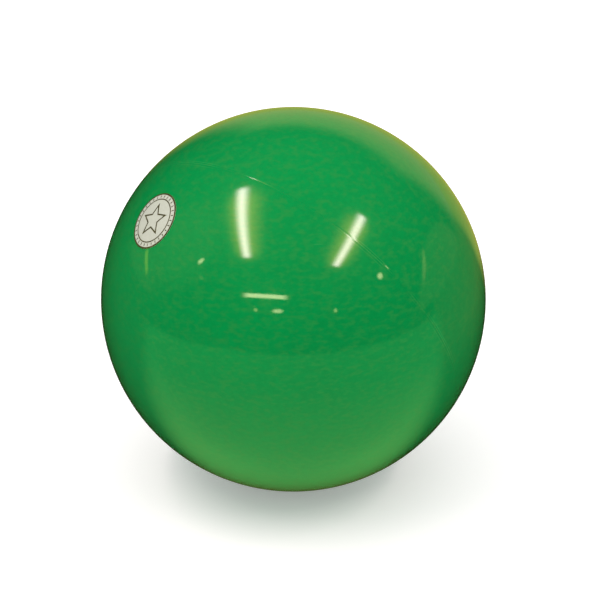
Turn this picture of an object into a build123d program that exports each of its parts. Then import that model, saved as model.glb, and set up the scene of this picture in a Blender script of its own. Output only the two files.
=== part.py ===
from build123d import *
import os
from math import cos, pi, sin, tan, radians

# A 216 mm (8.5 in) wound playground ball.  Origin: centre of the ball.  +Z is up,
# +Y runs out through the middle of the valve.  Sizes are in millimetres, angles in degrees.

# ---- driving dimensions ------------------------------------------------------------
ball_diameter = 216.0

outer_ply_wall = 1.1        # coloured rubber cover
inner_ply_wall = 0.7        # cushion rubber under the cover
winding_wall = 0.5          # nylon yarn wound over the bladder
bladder_wall = 0.7          # butyl air bladder

parting_azimuth = 38.8      # where the cover's parting plane points, from +Y towards +X
parting_elevation = 28.2    # and how far that direction is lifted above the horizontal
parting_groove = 0.12       # fine line where the two cover halves meet

neck_radius = 5.5           # valve boot where it passes through the plies
boot_flange_radius = 20.0
boot_flange_wall = 1.0
boot_depth = 17.0           # from the ball's surface to the boot's inner end
boot_nose_radius = 4.6      # inner end of the boot
boot_taper_length = 6.0     # the boot narrows to its nose over this length
boot_seat_depth = 1.3       # counterbore that takes the core's head

patch_radius = 26.0         # reinforcing disc round the valve
patch_wall = 0.25

core_radius = 3.0           # removable self-sealing core
core_head_radius = 4.2
core_length = 16.0
core_tip_chamfer = 0.6
core_clearance = 0.05       # radial gap between core and boot
needle_radius = 1.0         # channel for an inflating needle
needle_channel_depth = 13.0
needle_lead_in_radius = 1.7
needle_lead_in_angle = 75.0

bead_ring_radius = 10.5     # raised moulded ring round the valve
bead_section_radius = 1.2
bead_height = 0.3

badge_azimuth = -117.5      # printed badge: turned from +Y towards +X, so at the front left
badge_elevation = 38.1
badge_lean = 24.0           # the badge's own upright, turned anticlockwise on the surface
badge_radius = 16.4
badge_rim_line = 0.9        # dark line round the badge
badge_ring_radius = 13.0    # thin ring inside it
badge_ring_line = 0.6
badge_star_radius = 10.2
badge_star_waist = 0.45     # inner corners of the star, as a share of its points' radius
badge_star_line = 0.8
badge_star_points = 5
ink_wall = 0.1              # thickness of one printed ink film

# ---- derived radii, planes and outlines --------------------------------------------
ball_radius = ball_diameter / 2
inner_ply_radius = ball_radius - outer_ply_wall
winding_radius = inner_ply_radius - inner_ply_wall
bladder_radius = winding_radius - winding_wall
air_radius = bladder_radius - bladder_wall
boot_inner_end = ball_radius - boot_depth


def heading(azimuth, elevation):
    """Unit vector turned from +Y towards +X by azimuth and lifted by elevation."""
    return Vector(0, 1, 0).rotate(Axis.X, elevation).rotate(Axis.Z, -azimuth)


def valve_plane(height):
    """Plane across the valve axis, at a height along +Y from the ball's centre."""
    return Plane(origin=(0, height, 0), x_dir=(1, 0, 0), z_dir=(0, 1, 0))


parting_plane = Plane(origin=(0, 0, 0), z_dir=heading(parting_azimuth, parting_elevation))
badge_heading = heading(badge_azimuth, badge_elevation)
badge_plane = Plane(
    origin=(0, 0, 0), x_dir=Vector(0, 0, 1).cross(badge_heading), z_dir=badge_heading
).rotated((0, 0, badge_lean))


def finish(builder, name):
    """Label a finished piece and write its STEP file."""
    builder.part.label = name
    export_step(builder.part, f"parts/{name}.step")


os.makedirs("parts", exist_ok=True)

# ---- cover: two rubber halves that meet on the parting plane -----------------------
# The raised ring round the valve is a torus sunk into the cover, so only its crown shows.
bead_foot = (ball_radius**2 - bead_ring_radius**2) ** 0.5
bead_centre = bead_foot + bead_height - bead_section_radius

for half_name, kept_side in (("outer_ply_front", Keep.BOTTOM), ("outer_ply_back", Keep.TOP)):
    with BuildPart() as outer_ply:
        Sphere(ball_radius)
        with Locations(valve_plane(bead_centre)):
            Torus(bead_ring_radius, bead_section_radius)
        Sphere(inner_ply_radius, mode=Mode.SUBTRACT)
        split(bisect_by=parting_plane, keep=kept_side)
        if kept_side is Keep.TOP:
            with Locations(valve_plane(ball_radius)):
                Hole(neck_radius, depth=boot_depth)
        rim = (
            outer_ply.edges()
            .filter_by(lambda edge: abs(parting_plane.to_local_coords(edge.center()).Z) < ink_wall)
            .filter_by(lambda edge: abs((edge @ 0).length - ball_radius) < ink_wall)
        )
        chamfer(rim, parting_groove)
    finish(outer_ply, half_name)

# ---- cushion ply: two halves that meet across the valve axis, so the joints cross --
for half_name, kept_side in (("inner_ply_front", Keep.BOTTOM), ("inner_ply_back", Keep.TOP)):
    with BuildPart() as inner_ply:
        Sphere(inner_ply_radius)
        Sphere(winding_radius, mode=Mode.SUBTRACT)
        split(bisect_by=valve_plane(0), keep=kept_side)
        if kept_side is Keep.TOP:
            with Locations(valve_plane(ball_radius)):
                Hole(neck_radius, depth=boot_depth)
    finish(inner_ply, half_name)

# ---- reinforcing patch: a fabric disc on the bladder, under the winding ------------
with BuildPart() as valve_patch:
    Sphere(bladder_radius + patch_wall)
    Sphere(bladder_radius, mode=Mode.SUBTRACT)
    with BuildSketch(valve_plane(0)):
        Circle(patch_radius)
        Circle(neck_radius, mode=Mode.SUBTRACT)
    extrude(amount=ball_diameter, mode=Mode.INTERSECT)
finish(valve_patch, "valve_patch")

# ---- nylon winding: a whole shell, thinner where it passes over the patch ----------
with BuildPart() as nylon_winding:
    Sphere(winding_radius)
    Sphere(bladder_radius, mode=Mode.SUBTRACT)
    with Locations(valve_plane(ball_radius)):
        Hole(neck_radius, depth=boot_depth)
    add(valve_patch.part, mode=Mode.SUBTRACT)
finish(nylon_winding, "nylon_winding")

# ---- bladder: the airtight shell, open only where the boot's neck passes -----------
with BuildPart() as bladder:
    Sphere(bladder_radius)
    Sphere(air_radius, mode=Mode.SUBTRACT)
    with Locations(valve_plane(ball_radius)):
        Hole(neck_radius, depth=boot_depth)
finish(bladder, "bladder")

# ---- valve boot: flange bonded inside the bladder, neck out to the surface ---------
with BuildPart() as valve_boot:
    Sphere(air_radius)
    Sphere(air_radius - boot_flange_wall, mode=Mode.SUBTRACT)
    with BuildSketch(valve_plane(0)):
        Circle(boot_flange_radius)
    extrude(amount=ball_diameter, mode=Mode.INTERSECT)
    with BuildSketch(valve_plane(boot_inner_end)):
        Circle(neck_radius)
    extrude(amount=boot_depth)
    nose = valve_boot.faces().sort_by(Axis.Y)[0].edges()
    chamfer(nose, boot_taper_length, neck_radius - boot_nose_radius)
    Sphere(ball_radius, mode=Mode.INTERSECT)
    with Locations(valve_plane(ball_radius)):
        CounterBoreHole(
            radius=core_radius + core_clearance,
            counter_bore_radius=core_head_radius + core_clearance,
            counter_bore_depth=boot_seat_depth,
            depth=2 * boot_depth,
        )
finish(valve_boot, "valve_boot")

# ---- valve core: headed plug with a blind needle channel, slides out along +Y ------
with BuildPart() as valve_core:
    with BuildSketch(valve_plane(ball_radius - core_length)):
        Circle(core_radius)
    extrude(amount=core_length)
    chamfer(valve_core.faces().sort_by(Axis.Y)[0].edges(), core_tip_chamfer)
    with BuildSketch(valve_plane(ball_radius - boot_seat_depth)):
        Circle(core_head_radius)
    extrude(amount=boot_seat_depth)
    Sphere(ball_radius, mode=Mode.INTERSECT)
    with Locations(valve_plane(ball_radius)):
        CounterSinkHole(
            radius=needle_radius,
            counter_sink_radius=needle_lead_in_radius,
            depth=needle_channel_depth,
            counter_sink_angle=needle_lead_in_angle,
        )
finish(valve_core, "valve_core")

# ---- printed badge: a pale disc of ink, with dark rings and a star printed on it ---
with BuildPart() as badge_ground:
    with BuildSketch(badge_plane):
        Circle(badge_radius)
    extrude(amount=ball_diameter)
    Sphere(ball_radius + ink_wall, mode=Mode.INTERSECT)
    Sphere(ball_radius, mode=Mode.SUBTRACT)
finish(badge_ground, "badge_ground")

with BuildPart() as badge_rings:
    with BuildSketch(badge_plane):
        Circle(badge_radius)
        Circle(badge_radius - badge_rim_line, mode=Mode.SUBTRACT)
        Circle(badge_ring_radius)
        Circle(badge_ring_radius - badge_ring_line, mode=Mode.SUBTRACT)
    extrude(amount=ball_diameter)
    Sphere(ball_radius + 2 * ink_wall, mode=Mode.INTERSECT)
    Sphere(ball_radius + ink_wall, mode=Mode.SUBTRACT)
finish(badge_rings, "badge_rings")

star_corners = []
for corner in range(2 * badge_star_points):
    reach = badge_star_radius * (badge_star_waist if corner % 2 else 1.0)
    turn = pi / 2 + corner * pi / badge_star_points
    star_corners.append((reach * cos(turn), reach * sin(turn)))

with BuildPart() as badge_star:
    with BuildSketch(badge_plane):
        with BuildLine():
            Polyline(*star_corners, close=True)
        make_face()
        offset(amount=-badge_star_line, kind=Kind.INTERSECTION, mode=Mode.SUBTRACT)
    extrude(amount=ball_diameter)
    Sphere(ball_radius + 2 * ink_wall, mode=Mode.INTERSECT)
    Sphere(ball_radius + ink_wall, mode=Mode.SUBTRACT)
finish(badge_star, "badge_star")

# ---- where the needle channel's straight wall lies, for fitting a needle -----------
lead_in_depth = (needle_lead_in_radius - needle_radius) / tan(radians(needle_lead_in_angle / 2))
channel_wall = needle_channel_depth - lead_in_depth
channel_middle = ball_radius - lead_in_depth - channel_wall / 2
print(f"needle channel: radius {needle_radius}, wall {channel_wall:.3f}, middle at y {channel_middle:.3f}")
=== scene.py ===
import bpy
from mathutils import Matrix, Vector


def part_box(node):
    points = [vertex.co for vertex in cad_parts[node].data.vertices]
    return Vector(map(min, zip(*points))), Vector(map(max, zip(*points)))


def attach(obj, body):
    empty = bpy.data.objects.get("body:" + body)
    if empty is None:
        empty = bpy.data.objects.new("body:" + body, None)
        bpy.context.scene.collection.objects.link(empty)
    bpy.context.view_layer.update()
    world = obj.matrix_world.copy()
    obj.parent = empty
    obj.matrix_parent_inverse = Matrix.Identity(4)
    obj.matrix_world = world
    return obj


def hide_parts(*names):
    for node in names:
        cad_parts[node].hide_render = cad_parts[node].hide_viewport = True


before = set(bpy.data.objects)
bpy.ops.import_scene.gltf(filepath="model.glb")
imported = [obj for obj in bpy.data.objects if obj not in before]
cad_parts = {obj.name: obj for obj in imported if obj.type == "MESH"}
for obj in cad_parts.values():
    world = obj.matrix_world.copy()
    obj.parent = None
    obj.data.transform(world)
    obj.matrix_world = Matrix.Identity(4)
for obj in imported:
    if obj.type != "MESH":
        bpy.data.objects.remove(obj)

"""Looks of a wound rubber playground ball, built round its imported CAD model.

The ball's centre is the origin, +Z is up and +Y runs out through the valve. Lengths are in
metres and angles in degrees. Each sub-assembly is a class that builds its own meshes as
surfaces worked out with numpy, dresses them with a finish, and says what they replace.
"""

import logging
import math
from dataclasses import dataclass, field
from enum import Enum
from typing import Iterable, Sequence, Union

import bmesh
import bpy
import numpy as np

MM = 0.001
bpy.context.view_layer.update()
LOG = logging.getLogger("playground_ball")

UPRIGHT = (0.0, 0.0, 1.0)

Colour = tuple[float, float, float]
Socket = bpy.types.NodeSocket
Value = Union[float, Sequence[float], Socket]
Ramp = tuple[float, ...]  # low, high and, where they aren't 0 and 1, start and end


# ---- directions ---------------------------------------------------------------------


@dataclass(frozen=True)
class Heading:
    """A direction from the ball's centre.

    Attributes:
        azimuth: turn from +Y towards +X, in degrees.
        elevation: lift above the horizontal, in degrees.
    """

    azimuth: float
    elevation: float

    def vector(self) -> np.ndarray:
        """Unit vector: (sin az cos el, cos az cos el, sin el)."""
        az, el = math.radians(self.azimuth), math.radians(self.elevation)
        return np.array(
            [math.sin(az) * math.cos(el), math.cos(az) * math.cos(el), math.sin(el)]
        )


VALVE = Heading(0.0, 0.0)
PARTING = Heading(38.8, 28.2)
BADGE = Heading(-117.5, 38.1)


class Half(Enum):
    """Which side of a joint plane a half shell lies on."""

    FRONT = -1.0
    BACK = 1.0


def cross_axes(pole: np.ndarray) -> tuple[np.ndarray, np.ndarray]:
    """Two unit vectors at right angles to a pole, in right-handed order.

    Args:
        pole: unit vector.

    Returns:
        The level vector (Z cross pole, or X where the pole is upright), and the pole crossed
        with it.
    """
    level = np.cross(UPRIGHT, pole)
    size = np.linalg.norm(level)
    level = level / size if size > 1e-6 else np.array([1.0, 0.0, 0.0])
    return level, np.cross(pole, level)


def leaning_axes(pole: np.ndarray, lean: float) -> tuple[np.ndarray, np.ndarray]:
    """Right and up of a flat thing that faces along a pole and leans.

    Args:
        pole: unit vector that it faces along.
        lean: turn about the pole, in degrees.

    Returns:
        Right = cos lean * level + sin lean * other, and up = pole crossed with right.
    """
    level, other = cross_axes(pole)
    tilt = math.radians(lean)
    right = math.cos(tilt) * level + math.sin(tilt) * other
    return right, np.cross(pole, right)


def full_turn(count: int) -> np.ndarray:
    """Angles of that many equal steps round a circle, in radians."""
    return np.linspace(0.0, 2.0 * math.pi, count, endpoint=False)


# ---- meshes from whole arrays -------------------------------------------------------


@dataclass
class Skin:
    """Collects grids of points and turns them into one welded, closed mesh.

    A grid's rows run so that a row's step crossed with a column's step points out of the
    solid. Rows that fall on one point, as at a pole, are merged by the weld.

    Attributes:
        name: piece name.
        points: the grids added so far, each one as rows of points.
        faces: their quads, numbered over all the grids.
        count: how many points there are so far.
    """

    name: str
    points: list[np.ndarray] = field(default_factory=list)
    faces: list[np.ndarray] = field(default_factory=list)
    count: int = 0

    def add(self, grid: np.ndarray, wrap_rows: bool = False, wrap_columns: bool = True) -> None:
        """Adds one grid of quads.

        Args:
            grid: points as an array of rows by columns by 3, in metres.
            wrap_rows: joins the last row to the first.
            wrap_columns: joins the last column to the first.
        """
        rows, columns = grid.shape[:2]
        row, column = np.meshgrid(
            np.arange(rows if wrap_rows else rows - 1),
            np.arange(columns if wrap_columns else columns - 1),
            indexing="ij",
        )
        below, right = (row + 1) % rows, (column + 1) % columns
        corners = [(row, column), (below, column), (below, right), (row, right)]
        quads = np.stack([r * columns + c for r, c in corners], axis=-1)
        self.points.append(grid.reshape(-1, 3))
        self.faces.append(quads.reshape(-1, 4) + self.count)
        self.count += rows * columns

    def make(self, sharp_degrees: float = 40.0, weld: float = 2e-7) -> bpy.types.Object:
        """Makes the object, with coincident points merged and soft edges shaded smooth.

        Args:
            sharp_degrees: edges that turn more than this stay sharp.
            weld: points closer than this are merged, in metres.

        Returns:
            The new object, at the origin.
        """
        mesh = bpy.data.meshes.new(self.name)
        points = np.concatenate(self.points)
        faces = np.concatenate(self.faces)
        mesh.from_pydata(points.tolist(), [], faces.tolist())
        soft = bmesh.new()
        soft.from_mesh(mesh)
        bmesh.ops.remove_doubles(soft, verts=soft.verts, dist=weld)
        soft.to_mesh(mesh)
        soft.free()
        mesh.shade_smooth()
        mesh.set_sharp_from_angle(angle=math.radians(sharp_degrees))
        mesh.update()
        piece = bpy.data.objects.new(self.name, mesh)
        bpy.context.scene.collection.objects.link(piece)
        return piece


def turned(
    pole: np.ndarray, angle: np.ndarray, radius: np.ndarray, columns: int
) -> np.ndarray:
    """Grid on a ball-shaped surface, drawn along meridians that leave a pole.

    Point = radius (cos angle * pole + sin angle * (cos turn * level + sin turn * other)).

    Args:
        pole: unit vector where the meridians meet.
        angle: polar angle of each row, or of each row and column, in radians.
        radius: distance from the centre of each row.
        columns: how many meridians.

    Returns:
        Points, rows by columns by 3.
    """
    level, other = cross_axes(pole)
    turn = full_turn(columns)
    out = np.cos(turn)[:, None] * level + np.sin(turn)[:, None] * other
    angle = angle if angle.ndim == 2 else np.repeat(angle[:, None], columns, axis=1)
    straight = np.cos(angle)[..., None] * pole + np.sin(angle)[..., None] * out
    return radius[:, None, None] * straight


def lathe(pole: np.ndarray, section: np.ndarray, columns: int) -> np.ndarray:
    """Grid of a turned solid: section point (r, h) goes to h * pole + r * outward.

    Args:
        pole: unit vector of the axis.
        section: outline as rows of (distance from axis, height along axis).
        columns: how many steps round the axis.

    Returns:
        Points, rows by columns by 3.
    """
    radius = np.hypot(section[:, 0], section[:, 1])
    angle = np.arctan2(section[:, 0], section[:, 1])
    return turned(pole, angle, radius, columns)


def rounded(corners: Sequence[tuple[float, float, float]], steps: int = 5) -> np.ndarray:
    """Outline through corners, each one replaced by an arc.

    The arc of radius k at a corner touches both sides at k / tan(half the inside angle), and
    runs as a circle about the point that far in along the bisector.

    Args:
        corners: (r, h, arc radius), in millimetres; radius 0 keeps the corner.
        steps: points on each arc.

    Returns:
        Outline points in metres, rows of (r, h).
    """
    spots = np.array([c[:2] for c in corners])
    outline: list[np.ndarray] = []
    last = len(corners) - 1
    for index, (_, _, radius) in enumerate(corners):
        here = spots[index]
        if radius == 0.0:
            outline.append(here[None])
            continue
        back = spots[index - 1 if index else last] - here
        on = spots[index + 1 if index < last else 0] - here
        back, on = back / np.linalg.norm(back), on / np.linalg.norm(on)
        half = math.acos(np.clip(back @ on, -1.0, 1.0)) / 2.0
        middle = (back + on) / np.linalg.norm(back + on)
        centre = here + middle * radius / math.sin(half)
        first = here + back * radius / math.tan(half) - centre
        end = here + on * radius / math.tan(half) - centre
        sweep = math.pi - 2.0 * half
        share = np.linspace(0.0, 1.0, steps + 1)[:, None] * sweep
        arc = (np.sin(sweep - share) * first + np.sin(share) * end) / math.sin(sweep)
        outline.append(centre + arc)
    return np.concatenate(outline) * MM


# ---- shader nodes -------------------------------------------------------------------


@dataclass(frozen=True)
class Speckle:
    """A noise, seen where its height passes from one level to another.

    Attributes:
        scale: features per metre.
        detail: octaves.
        low: height at which it starts to show.
        high: height at which it shows in full.
        rough: strength of each octave against the last.
        start: its value below low.
        end: its value above high.
    """

    scale: float
    detail: float
    low: float
    high: float
    rough: float = 0.5
    start: float = 0.0
    end: float = 1.0


class Nodes:
    """Adds nodes to one shader tree and joins them; constants and sockets mix freely."""

    def __init__(self, tree: bpy.types.NodeTree) -> None:
        """Starts with an empty tree."""
        self.tree = tree
        tree.nodes.clear()

    def add(
        self, kind: str, inputs: dict[Union[str, int], Value] | None = None, **settings: str
    ) -> bpy.types.Node:
        """Adds a node.

        Args:
            kind: node type, such as ShaderNodeMath.
            inputs: value or socket for each input.
            **settings: the node's own settings.

        Returns:
            The node.
        """
        node = self.tree.nodes.new(kind)
        for name, setting in settings.items():
            setattr(node, name, setting)
        for name, value in (inputs or {}).items():
            self.feed(node.inputs[name], value)
        return node

    def feed(self, target: Socket, value: Value) -> None:
        """Joins a socket to an input, or sets the input's own value.

        Args:
            target: the input.
            value: a socket, number or vector, or a colour without its alpha.
        """
        if isinstance(value, bpy.types.NodeSocket):
            self.tree.links.new(value, target)
            return
        bare_colour = isinstance(value, (tuple, list)) and len(value) == 3
        if bare_colour and len(target.default_value) == 4:
            value = (*value, 1.0)
        target.default_value = value

    def fill(self, node: bpy.types.Node, inputs: dict[str, Value]) -> None:
        """Feeds several inputs of a node."""
        for name, value in inputs.items():
            self.feed(node.inputs[name], value)

    def math(self, operation: str, first: Value, second: Value = 0.0, third: Value = 0.0) -> Socket:
        """Result of a Math node."""
        node = self.add("ShaderNodeMath", {0: first, 1: second, 2: third}, operation=operation)
        return node.outputs[0]

    def times(self, first: Value, second: Value) -> Socket:
        """Product of two numbers."""
        return self.math("MULTIPLY", first, second)

    def larger(self, first: Value, second: Value) -> Socket:
        """Larger of two numbers."""
        return self.math("MAXIMUM", first, second)

    def times_plus(self, first: Value, second: Value, third: Value) -> Socket:
        """First times second, plus third."""
        return self.math("MULTIPLY_ADD", first, second, third)

    def length(self, first: Value, second: Value) -> Socket:
        """Length of the two sides of a right angle: sqrt(first^2 + second^2)."""
        return self.math("SQRT", self.times_plus(second, second, self.times(first, first)))

    def vector(self, operation: str, inputs: dict[int, Value], output: str = "Vector") -> Socket:
        """Result of a Vector Math node."""
        return self.add("ShaderNodeVectorMath", inputs, operation=operation).outputs[output]

    def dot(self, vector: Value, direction: Iterable[float]) -> Socket:
        """Dot product of a vector with a fixed direction."""
        return self.vector("DOT_PRODUCT", {0: vector, 1: tuple(direction)}, "Value")

    def tint(self, colour: Colour, strength: Value) -> Socket:
        """A colour times a strength."""
        return self.vector("SCALE", {0: colour, 3: strength})

    def both(self, first: Value, second: Value) -> Socket:
        """Sum of two colours."""
        return self.vector("ADD", {0: first, 1: second})

    def axes(self, vector: Value) -> bpy.types.NodeOutputs:
        """The vector's X, Y and Z."""
        return self.add("ShaderNodeSeparateXYZ", {0: vector}).outputs

    def ramp(
        self, value: Value, low: float, high: float, start: float = 0.0, end: float = 1.0
    ) -> Socket:
        """Smooth step: start + (end - start) t^2 (3 - 2t), t the share from low to high.

        Args:
            value: what it follows.
            low: where it starts.
            high: where it ends.
            start: result at low and below.
            end: result at high and above.

        Returns:
            The result's socket.
        """
        node = self.add(
            "ShaderNodeMapRange",
            {"Value": value, "From Min": low, "From Max": high, "To Min": start, "To Max": end},
            interpolation_type="SMOOTHSTEP",
        )
        return node.outputs["Result"]

    def noise(self, place: Value, scale: float, detail: float = 2.0, rough: float = 0.5) -> Socket:
        """Height of a noise.

        Args:
            place: where it is read.
            scale: features per unit of place.
            detail: octaves.
            rough: strength of each octave against the last.

        Returns:
            The height's socket, from 0 to 1.
        """
        inputs = {"Vector": place, "Scale": scale, "Detail": detail, "Roughness": rough}
        return self.add("ShaderNodeTexNoise", inputs).outputs["Fac"]

    def speckle(self, place: Value, look: Speckle) -> Socket:
        """A speckle's value at a place."""
        height = self.noise(place, look.scale, look.detail, look.rough)
        return self.ramp(height, look.low, look.high, look.start, look.end)

    def blend(self, share: Value, first: Value, second: Value) -> Socket:
        """Colour between first and second."""
        node = self.add("ShaderNodeMix", {0: share, 6: first, 7: second}, data_type="RGBA")
        return node.outputs[2]

    def stretched(
        self, place: Value, scale: Sequence[float], turn: Sequence[float] = (0.0, 0.0, 0.0)
    ) -> Socket:
        """Coordinates scaled along each axis, then turned about each axis."""
        inputs = {"Vector": place, "Scale": tuple(scale), "Rotation": tuple(turn)}
        return self.add("ShaderNodeMapping", inputs).outputs[0]

    def bump(self, height: Value, depth: float, under: Socket | None = None) -> Socket:
        """Normal tilted by a height.

        Args:
            height: from 0 to 1.
            depth: what a height of 1 stands for, in metres.
            under: a normal that is already tilted.

        Returns:
            The normal's socket.
        """
        inputs: dict[Union[str, int], Value] = {"Height": height, "Distance": depth}
        if under is not None:
            inputs["Normal"] = under
        return self.add("ShaderNodeBump", inputs).outputs[0]


@dataclass(frozen=True)
class Finish:
    """A surface finish; each kind builds its own node tree.

    Attributes:
        name: material name.
        slot: the record's material slot that it belongs to; not used.
    """

    name: str
    slot: str

    def material(self) -> bpy.types.Material:
        """The finish's material, made once and then shared.

        Returns:
            The material.
        """
        made = bpy.data.materials.get(self.name)
        if made is None:
            made = bpy.data.materials.new(self.name)
            made.use_nodes = True
            nodes = Nodes(made.node_tree)
            shader = nodes.add("ShaderNodeBsdfPrincipled")
            nodes.add("ShaderNodeOutputMaterial", {"Surface": shader.outputs[0]})
            place = nodes.add("ShaderNodeTexCoord").outputs["Object"]
            self.dress(nodes, shader, place)
        return made

    def dress(self, nodes: Nodes, shader: bpy.types.Node, place: Socket) -> None:
        """Builds the finish.

        Args:
            nodes: the material's tree.
            shader: its Principled shader.
            place: Object coordinates, in metres from the ball's centre.
        """
        raise NotImplementedError

    def apply(self, piece: bpy.types.Object) -> None:
        """Puts the finish in every material slot of a piece, adding a slot where it has none.

        Args:
            piece: the finished mesh.
        """
        if not piece.material_slots:
            piece.data.materials.append(None)
        for slot in piece.material_slots:
            slot.material = self.material()


@dataclass(frozen=True)
class CoverRubber(Finish):
    """Glossy moulded rubber: one colour, a sharp skin gloss over a broader sheen.

    Attributes:
        colour: main colour.
        deep: the same rubber where it looks a little darker.
        olive: the rubber where a thin bloom lies on it.
        scuff_and_glint: colour of fine rub marks, and of the painted glint along the parting lines.
        halo: tint of the broad sheen round a bright reflection.
        cloud: broad change towards deep.
        mottle: fine change towards deep.
        bloom: where the bloom lies.
        bloom_scale: its features per metre along X, Y and Z.
        smudge: roughness of the broad sheen.
        parting: direction across the parting plane.
        glint_lines: each painted glint line beside the parting plane, as offset, width and strength,
            in mm.
        wander: how far those lines stray, from side to side.
        broken: where they show.
        hair: crests of the noise that makes hairline scratches.
        hair_scale: its features per metre along a scratch and across it.
        hair_turns: turns of the directions that the scratches run in, in radians.
        sparse: where the scratches show.
        line_strength: how strongly the painted glint lines show.
        hair_strength: how strongly the scratches show.
        most_marked: largest share of rub marks and painted glint in the colour.
        swell_scale: slow waves of the surface per metre.
        swell: their height.
        mark_depth: depth of a line or scratch.
        sheen: strength of the broad sheen.
        gloss_roughness: roughness of the skin gloss.
        gloss_index: its index of refraction.
    """

    colour: Colour = (0.0002, 0.282, 0.06)
    deep: Colour = (0.0002, 0.24, 0.052)
    olive: Colour = (0.015, 0.266, 0.055)
    scuff_and_glint: Colour = (0.12, 0.42, 0.12)
    halo: Colour = (1.0, 1.0, 0.3)
    cloud: Speckle = Speckle(9.0, 3.0, 0.35, 0.7, end=0.4)
    mottle: Speckle = Speckle(420.0, 3.0, 0.35, 0.65, rough=0.6, end=0.45)
    bloom: Speckle = Speckle(1.0, 2.0, 0.4, 0.78)
    bloom_scale: tuple[float, float, float] = (230.0, 230.0, 430.0)
    smudge: Speckle = Speckle(26.0, 4.0, 0.3, 0.75, rough=0.6, start=0.278, end=0.295)
    parting: Heading = PARTING
    glint_lines: tuple[tuple[float, float, float], ...] = (
        (0.0, 0.16, 0.8), (1.25, 0.2, 0.5), (-1.5, 0.16, 0.45),
    )
    wander: float = 0.9 * MM
    broken: Speckle = Speckle(31.0, 3.0, 0.42, 0.66)
    hair: Speckle = Speckle(1.0, 1.0, 0.8, 0.86)
    hair_scale: tuple[float, float, float] = (28.0, 520.0, 520.0)
    hair_turns: tuple[tuple[float, float, float], ...] = (
        (0.3, 0.2, 0.5), (1.1, 0.7, -0.6), (0.1, -0.9, 1.9),
    )
    sparse: Speckle = Speckle(17.0, 1.0, 0.5, 0.7)
    line_strength: float = 0.4
    hair_strength: float = 0.15
    most_marked: float = 0.6
    swell_scale: float = 24.0
    swell: float = 0.05 * MM
    mark_depth: float = 0.004 * MM
    sheen: float = 0.07
    gloss_roughness: float = 0.05
    gloss_index: float = 1.5

    def parting_lines(self, nodes: Nodes, place: Socket) -> Socket:
        """Painted glint: fine light lines beside the parting line, broken up along their length.

        A line is a bell curve, exp(-(d / width)^2), with d the distance from the parting
        plane (the position dotted with the plane's direction, and a slow wander) less the
        line's own offset.

        Args:
            nodes: the material's tree.
            place: Object coordinates.

        Returns:
            How strongly a line shows.
        """
        away = nodes.dot(place, self.parting.vector())
        stray = nodes.times_plus(nodes.noise(place, 22.0), self.wander, -self.wander / 2.0)
        away = nodes.math("ADD", away, stray)
        total: Value = 0.0
        for offset, width, strength in self.glint_lines:
            off = nodes.math("SUBTRACT", away, offset * MM)
            off = nodes.math("DIVIDE", off, width * MM)
            bell = nodes.math("EXPONENT", nodes.times(nodes.times(off, off), -1.0))
            total = nodes.times_plus(bell, strength, total)
        return nodes.times(total, nodes.speckle(place, self.broken))

    def scratches(self, nodes: Nodes, place: Socket) -> Socket:
        """Sparse hairline scratches: the thin crests of noise stretched along one axis.

        Args:
            nodes: the material's tree.
            place: Object coordinates.

        Returns:
            How strongly a scratch shows.
        """
        total: Value = 0.0
        for turn in self.hair_turns:
            crest = nodes.speckle(nodes.stretched(place, self.hair_scale, turn), self.hair)
            total = nodes.math("ADD", total, crest)
        return nodes.times(total, nodes.speckle(place, self.sparse))

    def dress(self, nodes: Nodes, shader: bpy.types.Node, place: Socket) -> None:
        """Cloudy green, parting lines lightened as a painted glint, scratch lines, faint smudges and
        a slow swell.

        Args:
            nodes: the material's tree.
            shader: its Principled shader.
            place: Object coordinates, in metres from the ball's centre.
        """
        shade = nodes.math(
            "ADD", nodes.speckle(place, self.mottle), nodes.speckle(place, self.cloud)
        )
        body = nodes.blend(shade, self.colour, self.deep)
        bloom = nodes.speckle(nodes.stretched(place, self.bloom_scale), self.bloom)
        body = nodes.blend(bloom, body, self.olive)
        # Painted glint: the parting lines are lightened in the colour; the scratches are rub marks.
        lines = nodes.times(self.parting_lines(nodes, place), self.line_strength)
        marks = nodes.times_plus(self.scratches(nodes, place), self.hair_strength, lines)
        body = nodes.blend(nodes.math("MINIMUM", marks, self.most_marked), body, self.scuff_and_glint)
        normal = nodes.bump(nodes.noise(place, self.swell_scale, 1.0), self.swell)
        normal = nodes.bump(marks, -self.mark_depth, normal)
        nodes.fill(shader, {
            "Base Color": body,
            "Roughness": nodes.speckle(place, self.smudge),
            "Normal": normal,
            "Specular IOR Level": self.sheen,
            "Specular Tint": self.halo,
            "Coat Weight": 1.0,
            "Coat Roughness": self.gloss_roughness,
            "Coat IOR": self.gloss_index,
            "Coat Normal": normal,
        })


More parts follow.
